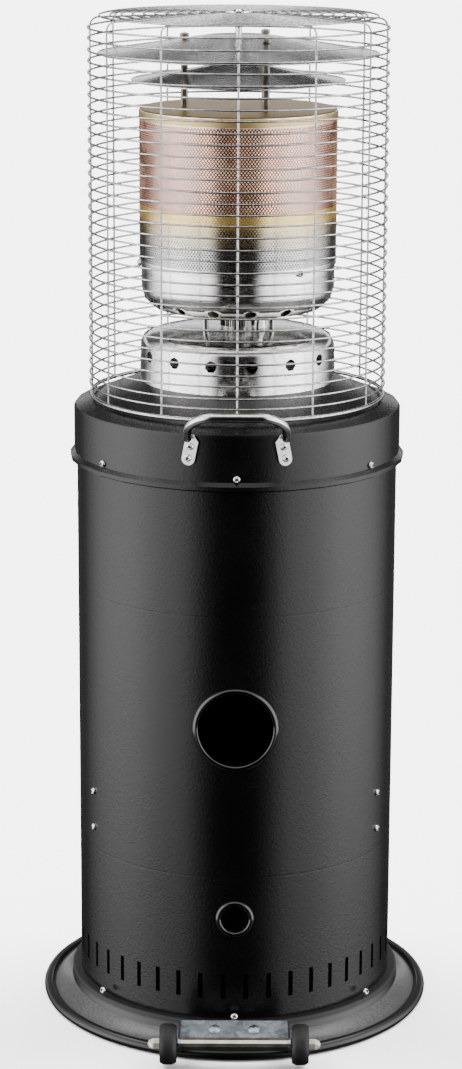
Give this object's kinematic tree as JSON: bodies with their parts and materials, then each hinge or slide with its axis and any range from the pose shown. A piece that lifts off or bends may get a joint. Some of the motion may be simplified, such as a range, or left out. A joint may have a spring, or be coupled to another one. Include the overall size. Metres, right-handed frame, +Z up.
{
  "type": "patio heater",
  "caption": "Cylindrical gas area heater: bottle housing with door on a round base, burner, disc reflectors and a wire guard on top, handle and wheels behind.",
  "frame": {"origin": "middle of the footprint, on the floor under the rim and wheels", "axes": "+Z up; -Y is the side with the carry handle and wheels, +Y the side with the door and the controls"},
  "size_m": [0.505, 0.5446, 1.2835],
  "materials": {
    "housing_black": "fine textured semi-gloss powder coat",
    "base_gloss": "black gloss enamel",
    "grommet_gloss": "gloss black",
    "stainless": "satin stainless steel, heat tinted round the screen",
    "reflector_aluminium": "polished",
    "guard_chrome": "bright plated wire",
    "handle_steel": "satin plated",
    "zinc_plate": "zinc plated, blue-grey",
    "wheel_black": "matt black tyre and hub",
    "plastic_black": "moulded black plastic",
    "valve_brass": "plain brass"
  },
  "bodies": {
    "heater": {"base_plate": "base_gloss", "body_shell": "housing_black", "cap": "housing_black", "port_grommet_large": "grommet_gloss", "port_grommet_small": "grommet_gloss", "burner_drum": "stainless", "burner_neck": "stainless", "burner_bowl": "stainless", "burner_screen": "stainless", "screen_lid": "stainless", "bowl_post_1": "stainless", "bowl_post_2": "stainless", "bowl_post_3": "stainless", "electrode": "stainless", "pilot_burner": "stainless", "reflector_lower": "reflector_aluminium", "reflector_upper": "reflector_aluminium", "reflector_post_1": "stainless", "reflector_post_2": "stainless", "reflector_post_3": "stainless", "guard_rings": "guard_chrome", "guard_crown": "guard_chrome", "guard_uprights": "guard_chrome", "guard_stud": "guard_chrome", "guard_nut": "guard_chrome", "carry_handle": "handle_steel", "wheel_bracket": "zinc_plate", "bracket_bolt_left": "zinc_plate", "bracket_bolt_right": "zinc_plate", "wheel_axle": "zinc_plate", "axle_spacer": "zinc_plate", "axle_nut_left": "zinc_plate", "axle_nut_right": "zinc_plate", "door_hinge_upper": "zinc_plate", "door_hinge_lower": "zinc_plate", "door_catch": "plastic_black", "control_panel": "plastic_black", "tilt_switch": "plastic_black", "igniter": "stainless", "gas_valve": "valve_brass", "gas_inlet": "valve_brass", "gas_pipe": "valve_brass", "bottle_ring": "zinc_plate", "bottle_stay": "zinc_plate"},
    "door": {"door": "housing_black", "door_pull": "handle_steel", "door_leaf_upper": "zinc_plate", "door_leaf_lower": "zinc_plate"},
    "spindle": {"valve_spindle": "zinc_plate"},
    "knob": {"control_knob": "plastic_black"},
    "button": {"igniter_button": "plastic_black"},
    "wheel_left": {"wheel_left": "wheel_black"},
    "wheel_right": {"wheel_right": "wheel_black"}
  },
  "joints": [
    {"name": "door_hinge", "type": "hinge", "parent": "heater", "child": "door", "pos_m": [0.15972, 0.15378, 0.358], "axis": [0, 0, -1], "range_deg": [0, 110]},
    {"name": "spindle_push", "type": "slide", "parent": "heater", "child": "spindle", "axis": [0, -1, 0], "range_m": [0, 0.004], "stiffness_N_per_m": 900},
    {"name": "knob_turn", "type": "hinge", "parent": "spindle", "child": "knob", "pos_m": [0.022, 0.23986, 0.6595], "axis": [0, 1, 0], "range_deg": [0, 200]},
    {"name": "button_push", "type": "slide", "parent": "heater", "child": "button", "axis": [0, -1, 0], "range_m": [0, 0.005], "stiffness_N_per_m": 900},
    {"name": "wheel_left_spin", "type": "hinge", "parent": "heater", "child": "wheel_left", "pos_m": [-0.0822, -0.24676, 0.03], "axis": [1, 0, 0], "continuous": true},
    {"name": "wheel_right_spin", "type": "hinge", "parent": "heater", "child": "wheel_right", "pos_m": [0.0822, -0.24676, 0.03], "axis": [1, 0, 0], "continuous": true}
  ]
}
